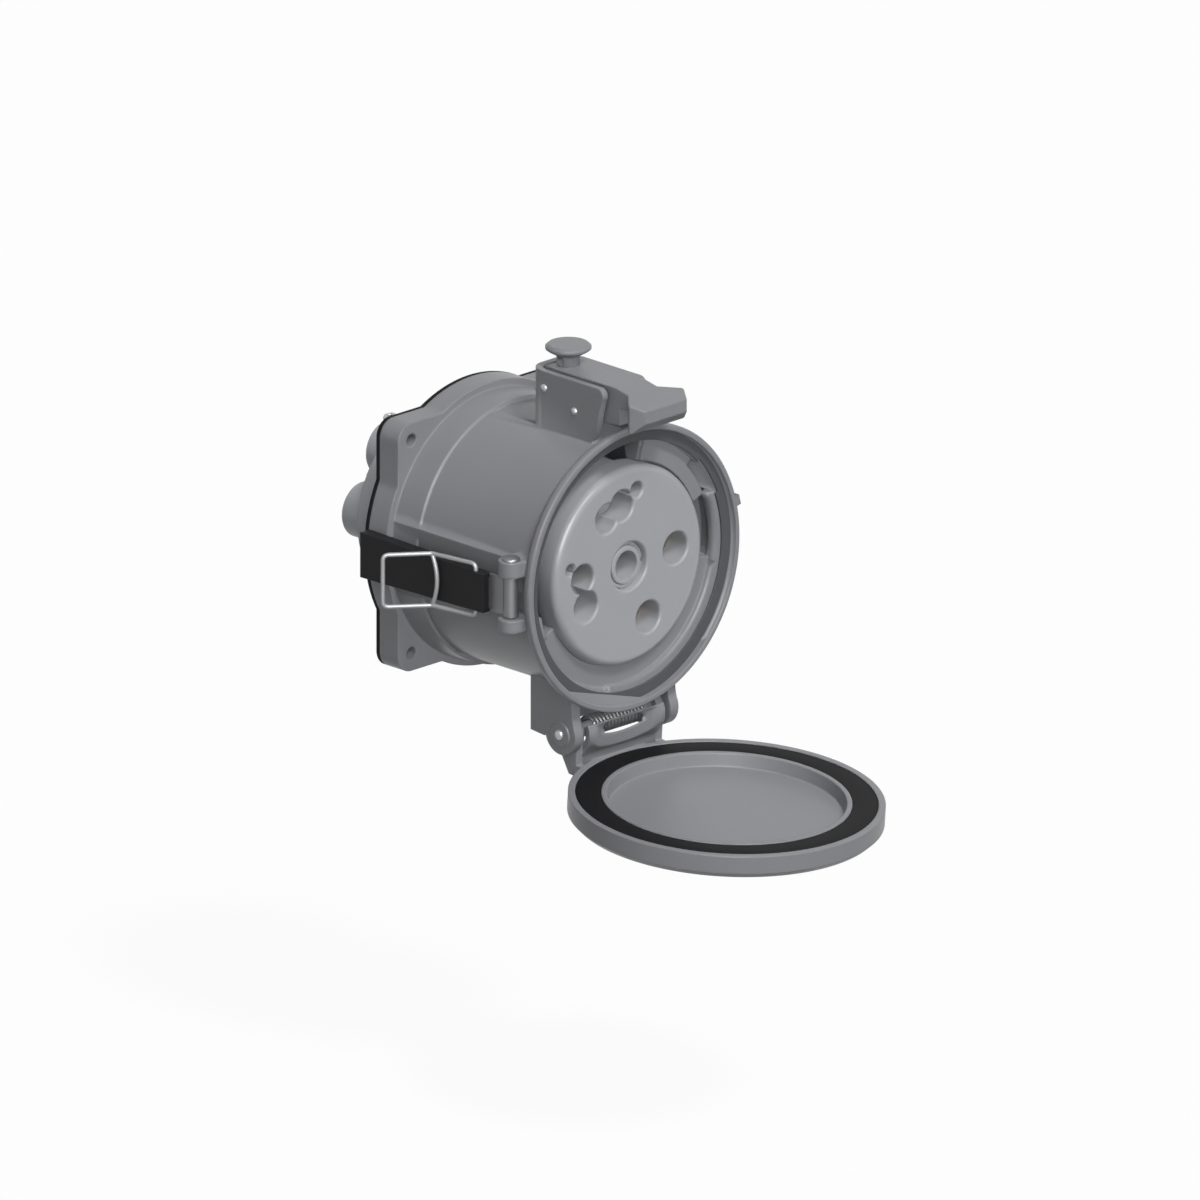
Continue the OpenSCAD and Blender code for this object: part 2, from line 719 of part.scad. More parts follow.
module lid_pin() color(steel) face() {
    translate([0, hinge_at[1], hinge_at[0]])
        domed_pin(hinge_pin_radius - 0.02, hinge_cheek_outer + 2.2);
}

module lid_spring() color(steel) face() {
    wire = 1.05;
    translate([-18, hinge_at[1], hinge_at[0]]) rotate([0, 90, 0]) rotate([0, 0, 200])
        coil(4.4, wire, 2.35, hinge_spring_turns, 6, 6, 16, 6);
}

// ---------------------------------------------------------------- side lever

module lever_strip() color(steel) face() {
    middle = lever_height + 0.6;
    difference() {
        union() {
            upright_pin(lever_pin_at, knuckle_radius, middle - knuckle_height / 2,
                middle + knuckle_height / 2);
            translate([strip_outer, lever_height - strip_height / 2, 24])
                cube([strip_thickness, strip_height, sleeve_front - 23]);
            // wide tongue between the sleeve and the knuckle
            translate([strip_outer, middle - knuckle_height / 2 + 0.5, sleeve_front + 0.4])
                cube([strip_thickness, knuckle_height - 1, lever_pin_at[1] - sleeve_front]);
        }
        upright_pin(lever_pin_at, lever_pin_radius + slip, -30, 30);
    }
}

module lever_sleeve() color(black_rubber) face() {
    difference() {
        translate([sleeve_outer, 0, 0]) rotate([0, 90, 0])
            linear_extrude(sleeve_inner - sleeve_outer) polygon([
                [-sleeve_front, lever_height - sleeve_front_width / 2],
                [-sleeve_front, lever_height + sleeve_front_width / 2],
                [-sleeve_rear, lever_height + sleeve_rear_width / 2],
                [-sleeve_rear, lever_height - sleeve_rear_width / 2]]);
        // pocket of the steel strip
        translate([strip_outer - slip, lever_height - strip_height / 2 - slip, 24 - slip])
            cube([strip_thickness + 2 * slip, strip_height + 2 * slip, 80]);
        // bail pivot holes
        upright_pin(bail_pivot, bail_wire / 2 + slip, lever_height - 20, lever_height - 6);
        upright_pin(bail_pivot, bail_wire / 2 + slip, lever_height + 6, lever_height + 20);
    }
}

module lever_pin() color(steel) face() translate([lever_pin_at[0], 0, lever_pin_at[1]])
    rotate([-90, 0, 0]) rotate_extrude() polygon([
        [0, -19.2], [1.4, -18.9], [lever_pin_radius - 0.02, -17.9], [lever_pin_radius - 0.02, 18.5],
        [4.6, 18.5], [4.6, 19.2], [3.6, 20.1], [2, 20.5], [0, 20.5]]);

module wire_bail() color(steel) face() {
    radius = bail_wire / 2;
    for (side = [-1, 1]) {
        height = lever_height + side * bail_half_width;
        inner = lever_height + side * 6.4;
        pivot = [bail_pivot[0], height, bail_pivot[1]];
        kink = [bail_kink[0], height, bail_kink[1]];
        end = [bail_end[0], height, bail_end[1]];
        rod([bail_pivot[0], inner, bail_pivot[1]], pivot, radius);
        rod(pivot, kink, radius);
        rod(kink, end, radius);
        for (p = [pivot, kink, end]) translate(p) sphere(radius * 1.03);
    }
    low = lever_height - bail_half_width;
    high = lever_height + bail_half_width;
    rod([bail_end[0], low, bail_end[1]], [bail_end[0], high, bail_end[1]], radius);
    rod([bail_kink[0], low, bail_kink[1]], [bail_kink[0], high, bail_kink[1]], radius);
}

// ---------------------------------------------------------------- drawing

body_casting();
flange_gasket();
rim_seal();
safety_disc();
disc_retainer();
contact_carrier();
carrier_ring();
carrier_screws();
phase_contacts();
neutral_contact();
earth_contact();
pilot_contacts();
contact_clips();
terminal_screws();
latch_pawl();
push_button();
latch_pin();
stop_pin();
latch_spring();
lid();
lid_gasket();
lid_pin();
lid_spring();
lever_strip();
lever_sleeve();
lever_pin();
wire_bail();
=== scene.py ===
"""Looks of an industrial panel socket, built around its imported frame.

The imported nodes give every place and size. Cast and moulded pieces are copied from their nodes
and get rounded edges; springs, wires, gaskets and seals are surfaces worked out here. Lengths in
the piece classes are millimetres, in the frame's own axes: +X right, +Y behind the panel, +Z up.
"""

import json
import logging
import math
from dataclasses import dataclass, field
from enum import Enum

import bmesh
import bpy
import numpy as np
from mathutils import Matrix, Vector

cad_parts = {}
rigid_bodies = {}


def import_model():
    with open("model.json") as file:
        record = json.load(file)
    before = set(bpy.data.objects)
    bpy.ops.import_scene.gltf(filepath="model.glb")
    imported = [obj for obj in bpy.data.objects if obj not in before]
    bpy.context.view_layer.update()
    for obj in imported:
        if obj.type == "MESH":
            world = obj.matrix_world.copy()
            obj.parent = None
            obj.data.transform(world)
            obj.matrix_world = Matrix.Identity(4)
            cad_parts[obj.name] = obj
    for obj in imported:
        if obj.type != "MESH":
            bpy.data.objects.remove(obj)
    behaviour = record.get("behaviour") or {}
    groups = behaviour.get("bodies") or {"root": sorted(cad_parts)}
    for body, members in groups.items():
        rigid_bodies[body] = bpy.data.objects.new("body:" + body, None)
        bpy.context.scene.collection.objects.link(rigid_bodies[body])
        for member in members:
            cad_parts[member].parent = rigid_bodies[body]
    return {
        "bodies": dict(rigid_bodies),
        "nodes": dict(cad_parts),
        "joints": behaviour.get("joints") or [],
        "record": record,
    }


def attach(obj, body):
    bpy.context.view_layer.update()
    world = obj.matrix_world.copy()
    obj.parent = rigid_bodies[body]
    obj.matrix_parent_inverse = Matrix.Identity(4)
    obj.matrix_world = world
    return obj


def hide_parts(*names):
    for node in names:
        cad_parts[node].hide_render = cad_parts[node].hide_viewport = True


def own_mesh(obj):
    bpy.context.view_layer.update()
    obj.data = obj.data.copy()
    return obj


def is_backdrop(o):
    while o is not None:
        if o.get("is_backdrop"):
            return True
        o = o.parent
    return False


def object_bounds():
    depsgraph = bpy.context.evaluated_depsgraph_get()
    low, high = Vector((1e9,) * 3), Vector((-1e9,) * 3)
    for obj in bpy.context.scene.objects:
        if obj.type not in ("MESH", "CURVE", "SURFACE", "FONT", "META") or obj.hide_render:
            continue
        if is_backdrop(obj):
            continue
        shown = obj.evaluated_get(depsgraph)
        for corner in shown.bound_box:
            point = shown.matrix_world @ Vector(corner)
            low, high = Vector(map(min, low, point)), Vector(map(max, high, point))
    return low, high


log = logging.getLogger("socket")

MM = 0.001
TAU = 2.0 * math.pi
Array = np.ndarray
Mesh = bpy.types.Mesh
Object = bpy.types.Object
Material = bpy.types.Material


class Body(Enum):
    """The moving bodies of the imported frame."""

    SOCKET = "socket"
    DISC = "disc"
    PAWL = "pawl"
    LID = "lid"
    LEVER = "lever"
    BAIL = "bail"


# ------------------------------------------------------------------ surfaces


def grid_faces(rows: int, columns: int, close_rows: bool, close_columns: bool) -> Array:
    """Quads of a grid of points.

    Args:
        rows: Number of points along the first parameter.
        columns: Number of points along the second parameter.
        close_rows: Whether the last row joins the first.
        close_columns: Whether the last column joins the first.

    Returns:
        An (n, 4) array of point numbers, one row for each quad.
    """
    i, j = np.meshgrid(
        np.arange(rows if close_rows else rows - 1),
        np.arange(columns if close_columns else columns - 1),
        indexing="ij",
    )
    k, m = (i + 1) % rows, (j + 1) % columns
    return np.stack(
        [i * columns + j, k * columns + j, k * columns + m, i * columns + m], -1
    ).reshape(-1, 4)


def grid_mesh(
    name: str, points: Array, close_rows: bool, close_columns: bool, caps: bool = False
) -> Mesh:
    """Mesh of a grid of points in millimetres, with its faces turned outwards.

    Args:
        name: Name of the mesh.
        points: A (rows, columns, 3) array.
        close_rows: Whether the last row joins the first.
        close_columns: Whether the last column joins the first.
        caps: Whether the first and last rows are closed with a flat face.

    Returns:
        The new mesh, in metres.
    """
    rows, columns = points.shape[:2]
    faces = grid_faces(rows, columns, close_rows, close_columns).tolist()
    if caps:
        faces.append(list(range(columns)))
        faces.append(list(range((rows - 1) * columns, rows * columns))[::-1])
    mesh = bpy.data.meshes.new(name)
    mesh.from_pydata((points.reshape(-1, 3) * MM).tolist(), [], faces)
    mesh.update()
    turn_outwards(mesh)
    return mesh


def turn_outwards(mesh: Mesh) -> None:
    """Merges doubled points and makes every face of a mesh point outwards.

    Args:
        mesh: The mesh to change.
    """
    work = bmesh.new()
    work.from_mesh(mesh)
    bmesh.ops.remove_doubles(work, verts=work.verts, dist=1e-6)
    bmesh.ops.recalc_face_normals(work, faces=work.faces)
    if work.calc_volume(signed=True) < 0:
        bmesh.ops.reverse_faces(work, faces=work.faces)
    work.to_mesh(mesh)
    work.free()
    mesh.shade_smooth()


def rounded_loop(corners: Array, radii: Array, steps: int = 5) -> Array:
    """A closed outline whose corners are replaced with arcs.

    Each corner is cut back along both of its edges by the radius times the tangent of half its
    turn, and a quadratic blend of the two cut points and the corner stands for the arc.

    Args:
        corners: An (n, 2) array of corners.
        radii: The n radii.
        steps: Points on each arc.

    Returns:
        The outline as an (n * steps, 2) array.
    """
    before = np.roll(corners, 1, 0) - corners
    after = np.roll(corners, -1, 0) - corners
    length_before = np.linalg.norm(before, axis=1)
    length_after = np.linalg.norm(after, axis=1)
    before /= length_before[:, None]
    after /= length_after[:, None]
    inner = np.arccos(np.clip((before * after).sum(1), -1, 1))
    cut = np.minimum(radii / np.tan(np.maximum(inner, 0.05) / 2), 0.49 * length_before)
    cut = np.minimum(cut, 0.49 * length_after)
    t = np.linspace(0, 1, steps)[None, :, None]
    a = (corners + before * cut[:, None])[:, None, :]
    b = (corners + after * cut[:, None])[:, None, :]
    c = corners[:, None, :]
    return ((1 - t) ** 2 * a + 2 * t * (1 - t) * c + t**2 * b).reshape(-1, 2)


def tube(
    name: str, path: Array, radius: float, across: Array, sides: int = 12
) -> Mesh:
    """Round wire along a path.

    Each path point carries a circle of the given radius in the plane square to the path's own
    direction: radius times (cos b times the side direction plus sin b times the second one).

    Args:
        name: Name of the mesh.
        path: An (n, 3) array of points.
        radius: Radius of the wire.
        across: A direction, or one for each point, that is nowhere parallel to the path.
        sides: Points round the wire.

    Returns:
        The capped wire.
    """
    along = np.gradient(path, axis=0)
    along /= np.linalg.norm(along, axis=1)[:, None]
    side = np.cross(along, np.broadcast_to(across, path.shape))
    side /= np.linalg.norm(side, axis=1)[:, None]
    second = np.cross(along, side)
    b = np.linspace(0, TAU, sides, endpoint=False)[None, :, None]
    points = path[:, None, :] + radius * (
        np.cos(b) * side[:, None, :] + np.sin(b) * second[:, None, :]
    )
    return grid_mesh(name, points, False, True, caps=True)


def along_plane(path: Array) -> Array:
    """A direction for each point of a path that stays square to it from point to point.

    The first direction is any one square to the path. Each next one is the same direction with
    its part along the path taken off, which is worked out point by point.

    Args:
        path: An (n, 3) array of points.

    Returns:
        An (n, 3) array of unit directions.
    """
    along = np.gradient(path, axis=0)
    along /= np.linalg.norm(along, axis=1)[:, None]
    side = np.cross(along[0], np.array([0.31, 0.52, 0.8]))
    found = []
    for step in along:
        side = side - step * float(side @ step)
        side = side / np.linalg.norm(side)
        found.append(side)
    return np.array(found)


def bent_path(corners: Array, radius: float, steps: int = 7) -> Array:
    """An open path in space whose inner corners are rounded with quadratic blends.

    Args:
        corners: An (n, 3) array.
        radius: Radius of each bend.
        steps: Points on each bend.

    Returns:
        The path's points.
    """
    middle = corners[1:-1]
    before = corners[:-2] - middle
    after = corners[2:] - middle
    length_before = np.linalg.norm(before, axis=1)[:, None]
    length_after = np.linalg.norm(after, axis=1)[:, None]
    before, after = before / length_before, after / length_after
    inner = np.arccos(np.clip((before * after).sum(1), -1, 1))[:, None]
    cut = np.minimum(radius / np.tan(inner / 2), 0.45 * np.minimum(length_before, length_after))
    t = np.linspace(0, 1, steps)[None, :, None]
    a, b, c = (middle + before * cut)[:, None], (middle + after * cut)[:, None], middle[:, None]
    bends = ((1 - t) ** 2 * a + 2 * t * (1 - t) * c + t**2 * b).reshape(-1, 3)
    return np.vstack([corners[:1], bends, corners[-1:]])


def turned(
    name: str, profile: Array, centre: tuple[float, float], axis: int, segments: int = 40
) -> Mesh:
    """Surface of an open profile turned about a line along X or Z.

    A point (r, t) of the profile at angle a stands r cos a and r sin a from the line, t along it.
    The profile starts and ends on the line, so both poles are closed.

    Args:
        name: Name of the mesh.
        profile: An (n, 2) array of distance from the line and place along it.
        centre: The line's two other coordinates, in the order of the axes.
        axis: 0 for a line along X, 2 for a line along Z.
        segments: Steps round the line.

    Returns:
        The closed solid.
    """
    a = np.linspace(0, TAU, segments, endpoint=False)[None, :]
    r, t = profile[:, 0][:, None], profile[:, 1][:, None]
    first, second = centre[0] + r * np.cos(a), centre[1] + r * np.sin(a)
    along = t + 0 * a
    order = [along, first, second] if axis == 0 else [first, second, along]
    return grid_mesh(name, np.stack(order, -1), False, True)


def domed(radius: float, low: float, high: float, dome: float, steps: int = 7) -> Array:
    """Profile of a round pin with a quarter-ellipse dome on each end.

    Each end follows (radius times sin u, the end plus or minus dome times cos u) for u from 0 to
    a quarter turn.

    Args:
        radius: Radius of the pin.
        low: Tip of the lower dome.
        high: Tip of the upper dome.
        dome: Height of each dome.
        steps: Points on each dome.

    Returns:
        The profile from the lower tip to the upper one.
    """
    u = np.linspace(0, TAU / 4, steps)
    lower = np.stack([radius * np.sin(u), low + dome * (1 - np.cos(u))], -1)
    upper = np.stack([radius * np.sin(u), high - dome * (1 - np.cos(u))], -1)[::-1]
    return np.vstack([lower, upper])


def helix(radius: float, pitch: float, turns: float, start: float, steps: int = 36) -> Array:
    """Points of a helix about the first axis: (pitch t, radius cos a, radius sin a).

    Args:
        radius: Radius of the helix.
        pitch: Advance of one turn.
        turns: Number of turns.
        start: Angle of the first point, in degrees.
        steps: Points of one turn.

    Returns:
        An (n, 3) array; a is the start plus t turns.
    """
    t = np.linspace(0, turns, int(turns * steps) + 1)
    a = math.radians(start) + TAU * t
    return np.stack([pitch * t, radius * np.cos(a), radius * np.sin(a)], -1)


# ------------------------------------------------------------------ finishes


@dataclass(frozen=True)
class Finish:
    """A surface finish.

    Attributes:
        slot: Material slot of the record; not used.
        colour: Linear base colour.
        worn: Linear colour where edges are rubbed.
        roughness: Middle roughness.
        metallic: Metallic share.
        grain: Grain cells per metre.
        bump: Height of the grain.
        mottle: Share of slow colour change.
        wear: Strength of the edge rubbing.
        stretch: Stretch of the grain along each axis.
        coat: Clear coat weight.
        sheen: Specular level of the bare surface.
        edge: Radius to which sharp edges are shaded round, in metres.
    """

    slot: str
    colour: tuple[float, float, float]
    worn: tuple[float, float, float]
    roughness: float = 0.45
    metallic: float = 0.0
    grain: float = 900.0
    bump: float = 0.12
    mottle: float = 0.06
    wear: float = 0.4
    stretch: tuple[float, float, float] = (1.0, 1.0, 1.0)
    coat: float = 0.0
    sheen: float = 0.5
    edge: float = 0.0006


class Finishes(Enum):
    """Every finish of the socket."""

    CASTING = Finish(
        "cast_metal", (0.240, 0.243, 0.257), (0.4, 0.405, 0.42), 0.36, 0.0, 720, 0.12, 0.06,
        sheen=0.15, edge=0.0013,
    )
    LIGHT_CAST = Finish(
        "cast_metal", (0.232, 0.235, 0.248), (0.4, 0.405, 0.42), 0.34, 0.0, 720, 0.1,
        sheen=0.15, edge=0.001,
    )
    DISC = Finish(
        "disc_plastic", (0.362, 0.370, 0.391), (0.46, 0.47, 0.49), 0.30, 0.0, 1500, 0.04, 0.03,
        sheen=0.18, edge=0.001,
    )
    BLOCK = Finish(
        "block_plastic", (0.37, 0.378, 0.398), (0.45, 0.46, 0.475), 0.4, 0.0, 1200, 0.06,
        sheen=0.2,
    )
    SEAL = Finish(
        "grey_seal", (0.098, 0.099, 0.106), (0.15, 0.15, 0.158), 0.62, 0.0, 1100, 0.1,
        sheen=0.08, edge=0.0003,
    )
    RUBBER = Finish(
        "black_rubber", (0.0085, 0.0085, 0.0095), (0.025, 0.025, 0.027), 0.55, 0.0, 1300, 0.12,
        sheen=0.06,
    )
    SLEEVE = Finish(
        "black_sleeve", (0.0135, 0.0135, 0.015), (0.04, 0.04, 0.043), 0.45, 0.0, 1000, 0.1,
        sheen=0.1, edge=0.001,
    )
    STEEL = Finish(
        "steel", (0.42, 0.425, 0.435), (0.6, 0.6, 0.61), 0.34, 0.6, 520, 0.05, 0.08, 0.5,
        sheen=0.3,
    )
    WIRE = Finish(
        "steel", (0.29, 0.295, 0.30), (0.42, 0.42, 0.43), 0.52, 0.35, 520, 0.05, 0.08,
        0.4, sheen=0.2,
    )
    STRIP = Finish(
        "steel", (0.16, 0.162, 0.167), (0.3, 0.3, 0.31), 0.42, 0.6, 600, 0.1, 0.1, 0.5,
        (1.0, 0.25, 1.0), sheen=0.3,
    )
    SPRING = Finish(
        "steel", (0.17, 0.172, 0.177), (0.3, 0.3, 0.31), 0.45, 0.35, 600, 0.05, 0.1, 0.3,
        sheen=0.25,
    )
    BRASS = Finish("brass", (0.56, 0.4, 0.17), (0.75, 0.58, 0.3), 0.28, 1.0, 600, 0.05)


class GrainGroup:
    """Node group of fine grain, slow mottle and edge rubbing, shared by every finish."""

    def __init__(self) -> None:
        """Builds the group once."""
        tree = bpy.data.node_groups.new("surface_detail", "ShaderNodeTree")
        self.tree = tree
        face = tree.interface
        for name, kind, value in (
            ("Colour", "NodeSocketColor", (0.5, 0.5, 0.5, 1)),
            ("Worn", "NodeSocketColor", (0.7, 0.7, 0.7, 1)),
            ("Scale", "NodeSocketFloat", 800.0),
            ("Mottle", "NodeSocketFloat", 0.06),
            ("Wear", "NodeSocketFloat", 0.4),
            ("Roughness", "NodeSocketFloat", 0.45),
            ("Stretch", "NodeSocketVector", (1, 1, 1)),
            ("Edge", "NodeSocketFloat", 0.0006),
        ):
            socket = face.new_socket(name=name, in_out="INPUT", socket_type=kind)
            socket.default_value = value
        for name, kind in (
            ("Colour", "NodeSocketColor"),
            ("Roughness", "NodeSocketFloat"),
            ("Height", "NodeSocketFloat"),
            ("Normal", "NodeSocketVector"),
        ):
            face.new_socket(name=name, in_out="OUTPUT", socket_type=kind)
        self._wire()

    def _node(self, kind: str, **values: object) -> bpy.types.Node:
        """A node of the group with its plain properties set.

        Args:
            kind: Type of the node.
            values: Plain properties to set.

        Returns:
            The new node.
        """
        node = self.tree.nodes.new(kind)
        for key, value in values.items():
            setattr(node, key, value)
        return node

    def _wire(self) -> None:
        """Joins the group's nodes."""
        links = self.tree.links
        given = self._node("NodeGroupInput")
        out = self._node("NodeGroupOutput")
        place = self._node("ShaderNodeTexCoord")
        stretch = self._node("ShaderNodeVectorMath", operation="MULTIPLY")
        links.new(place.outputs["Object"], stretch.inputs[0])
        links.new(given.outputs["Stretch"], stretch.inputs[1])
        fine = self._node("ShaderNodeTexNoise")
        fine.inputs["Detail"].default_value = 4.0
        links.new(stretch.outputs[0], fine.inputs["Vector"])
        links.new(given.outputs["Scale"], fine.inputs["Scale"])
        slow = self._node("ShaderNodeTexNoise")
        slow.inputs["Scale"].default_value = 28.0
        slow.inputs["Detail"].default_value = 3.0
        links.new(place.outputs["Object"], slow.inputs["Vector"])
        # slow mottle: colour times (1 + mottle * (noise - 0.5))
        centred = self._node("ShaderNodeMath", operation="SUBTRACT")
        centred.inputs[1].default_value = 0.5
        links.new(slow.outputs["Fac"], centred.inputs[0])
        amount = self._node("ShaderNodeMath", operation="MULTIPLY_ADD")
        links.new(centred.outputs[0], amount.inputs[0])
        links.new(given.outputs["Mottle"], amount.inputs[1])
        amount.inputs[2].default_value = 1.0
        tone = self._node("ShaderNodeVectorMath", operation="SCALE")
        links.new(given.outputs["Colour"], tone.inputs[0])
        links.new(amount.outputs[0], tone.inputs["Scale"])
        # rubbed edges: where the rounded normal leaves the true one, broken up by the slow noise
        rounded = self._node("ShaderNodeBevel", samples=6)
        links.new(given.outputs["Edge"], rounded.inputs["Radius"])
        links.new(rounded.outputs["Normal"], out.inputs["Normal"])
        true = self._node("ShaderNodeNewGeometry")
        turn = self._node("ShaderNodeVectorMath", operation="DOT_PRODUCT")
        links.new(rounded.outputs["Normal"], turn.inputs[0])
        links.new(true.outputs["Normal"], turn.inputs[1])
        mask = self._node("ShaderNodeMapRange")
        mask.inputs["From Min"].default_value = 0.995
        mask.inputs["From Max"].default_value = 0.8
        links.new(turn.outputs["Value"], mask.inputs["Value"])
        broken = self._node("ShaderNodeMath", operation="MULTIPLY")
        links.new(mask.outputs["Result"], broken.inputs[0])
        links.new(slow.outputs["Fac"], broken.inputs[1])
        rubbed = self._node("ShaderNodeMath", operation="MULTIPLY", use_clamp=True)
        links.new(broken.outputs[0], rubbed.inputs[0])
        links.new(given.outputs["Wear"], rubbed.inputs[1])
        mix = self._node("ShaderNodeMix", data_type="RGBA")
        links.new(rubbed.outputs[0], mix.inputs["Factor"])
        links.new(tone.outputs[0], mix.inputs[6])
        links.new(given.outputs["Worn"], mix.inputs[7])
        links.new(mix.outputs[2], out.inputs["Colour"])
        # roughness wanders with the fine grain
        rough = self._node("ShaderNodeMath", operation="MULTIPLY_ADD")
        links.new(fine.outputs["Fac"], rough.inputs[0])
        rough.inputs[1].default_value = 0.16
        links.new(given.outputs["Roughness"], rough.inputs[2])
        lower = self._node("ShaderNodeMath", operation="SUBTRACT", use_clamp=True)
        links.new(rough.outputs[0], lower.inputs[0])
        lower.inputs[1].default_value = 0.08
        links.new(lower.outputs[0], out.inputs["Roughness"])
        links.new(fine.outputs["Fac"], out.inputs["Height"])


class PaintShop:
    """Makes each material once and hands it out."""

    def __init__(self) -> None:
        """Builds the shared group."""
        self.group = GrainGroup()
        self.made: dict[Finishes, Material] = {}

    def material(self, finish: Finishes) -> Material:
        """The material of a finish, built on first use.

        Args:
            finish: The finish.

        Returns:
            Its material.
        """
        if finish not in self.made:
            self.made[finish] = self._make(finish)
        return self.made[finish]

    def _make(self, choice: Finishes) -> Material:
        """Builds one Principled material around the shared group.

        Args:
            choice: The finish to build.

        Returns:
            The new material.
        """
        finish = choice.value
        material = bpy.data.materials.new(choice.name.lower())
        material.use_nodes = True
        tree = material.node_tree
        shader = tree.nodes["Principled BSDF"]
        shader.inputs["Metallic"].default_value = finish.metallic
        shader.inputs["Coat Weight"].default_value = finish.coat
        shader.inputs["Specular IOR Level"].default_value = finish.sheen
        detail = tree.nodes.new("ShaderNodeGroup")
        detail.node_tree = self.group.tree
        detail.inputs["Colour"].default_value = (*finish.colour, 1)
        detail.inputs["Worn"].default_value = (*finish.worn, 1)
        detail.inputs["Scale"].default_value = finish.grain
        detail.inputs["Mottle"].default_value = finish.mottle
        detail.inputs["Wear"].default_value = finish.wear
        detail.inputs["Roughness"].default_value = finish.roughness
        detail.inputs["Stretch"].default_value = finish.stretch
        detail.inputs["Edge"].default_value = finish.edge
        bump = tree.nodes.new("ShaderNodeBump")
        bump.inputs["Strength"].default_value = finish.bump
        bump.inputs["Distance"].default_value = 0.0004
        tree.links.new(detail.outputs["Colour"], shader.inputs["Base Color"])
        tree.links.new(detail.outputs["Roughness"], shader.inputs["Roughness"])
        tree.links.new(detail.outputs["Height"], bump.inputs["Height"])
        tree.links.new(detail.outputs["Normal"], bump.inputs["Normal"])
        tree.links.new(bump.outputs["Normal"], shader.inputs["Normal"])
        return material


# ------------------------------------------------------------------ pieces


@dataclass
class Workshop:
    """What every sub-assembly needs: the frame's nodes and the finishes."""

    nodes: dict[str, Object]
    paint: PaintShop

    def place(
        self, mesh: Mesh, name: str, body: Body, finish: Finishes, replaced: tuple[str, ...] = ()
    ) -> Object:
        """Puts a mesh in the scene as a piece of a body.

        Args:
            mesh: The finished mesh, in place.
            name: Name of the piece.
            body: The body that carries it.
            finish: Its finish.
            replaced: Nodes that it stands for.

        Returns:
            The new object.
        """
        piece = bpy.data.objects.new(name, mesh)
        bpy.context.scene.collection.objects.link(piece)
        piece.data.materials.clear()
        piece.data.materials.append(self.paint.material(finish))
        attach(piece, body.value)
        if replaced:
            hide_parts(*replaced)
        log.info("%s: %d faces on %s", name, len(mesh.polygons), body.value)
        return piece

    def dress(self, node: str, finish: Finishes) -> None:
        """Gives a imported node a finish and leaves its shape.

        Args:
            node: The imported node.
            finish: Its finish.
        """
        slots = self.nodes[node].data.materials
        slots.clear()
        slots.append(self.paint.material(finish))

    def softened(
        self,
        node: str,
        body: Body,
        finish: Finishes,
        width: float = 0.8,
        segments: int = 3,
        angle: float = 32.0,
        zones: tuple["Zone", ...] = (),
        flares: tuple["Flare", ...] = (),
    ) -> Object:
        """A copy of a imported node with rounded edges, standing for it.

        Flat triangles are joined first, then each edge that turns by more than the angle gets a
        rounded strip. Where zones are given, only the edges in them are rounded, each to its
        zone's width. Flares round the mouths of holes.

        Args:
            node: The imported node.
            body: The body that carries it.
            finish: Its finish.
            width: Width of the rounding, in millimetres.
            segments: Facets across the rounding.
            angle: Least turn of an edge that is rounded, in degrees.
            zones: Boxes with their own widths.
            flares: Round hole mouths.

        Returns:
            The new piece.
        """
        mesh = self._flared(node, flares)
        work = bmesh.new()
        work.from_mesh(mesh)
        bmesh.ops.dissolve_limit(
            work, angle_limit=math.radians(0.7), verts=work.verts, edges=work.edges
        )
        work.to_mesh(mesh)
        work.free()
        mesh.shade_smooth()
        helper = bpy.data.objects.new(node + "_helper", mesh)
        bpy.context.scene.collection.objects.link(helper)
        bevel = helper.modifiers.new("rounding", "BEVEL")
        bevel.segments = segments
        bevel.use_clamp_overlap = True
        if zones:
            bevel.width = max(zone.width for zone in zones) * MM
            bevel.limit_method = "WEIGHT"
            weigh_edges(mesh, zones, bevel.width, math.radians(angle))
        else:
            bevel.width = width * MM
            bevel.limit_method = "ANGLE"
            bevel.angle_limit = math.radians(angle)
        if width == 0:
            helper.modifiers.remove(bevel)
        done = applied(helper)
        done.shade_smooth()
        done.set_sharp_from_angle(angle=math.radians(38))
        helper = bpy.data.objects.new(node + "_helper", done)
        bpy.context.scene.collection.objects.link(helper)
        even = helper.modifiers.new("even", "WEIGHTED_NORMAL")
        even.keep_sharp = True
        even.weight = 80
        done = applied(helper)
        done.name = node + "_rounded"
        return self.place(done, node + "_body", body, finish, (node,))

    def _flared(self, node: str, flares: tuple["Flare", ...]) -> Mesh:
        """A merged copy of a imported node's mesh with the mouths of its holes rounded.

        Args:
            node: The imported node.
            flares: The mouths to round.

        Returns:
            The new mesh.
        """
        mesh = self.nodes[node].data.copy()
        work = bmesh.new()
        work.from_mesh(mesh)
        bmesh.ops.remove_doubles(work, verts=work.verts, dist=2e-6)
        work.to_mesh(mesh)
        work.free()
        if not flares:
            return mesh
        helper = bpy.data.objects.new(node + "_helper", mesh)
        bpy.context.scene.collection.objects.link(helper)
        cutters = [flare.cutter(node + "_cutter") for flare in flares]
        for cutter in cutters:
            cut = helper.modifiers.new("flare", "BOOLEAN")
            cut.operation = "DIFFERENCE"
            cut.solver = "EXACT"
            cut.object = cutter
        done = applied(helper)
        for cutter in cutters:
            bpy.data.objects.remove(cutter)
        log.info("%s: %d faces after %d rounded mouths", node, len(done.polygons), len(flares))
        return done


def applied(helper: Object) -> Mesh:
    """The mesh of an object with its modifiers applied; the object is removed.

    Args:
        helper: The object to finish.

    Returns:
        The finished mesh.
    """
    bpy.context.view_layer.update()
    graph = bpy.context.evaluated_depsgraph_get()
    done = bpy.data.meshes.new_from_object(helper.evaluated_get(graph))
    bpy.data.objects.remove(helper)
    return done


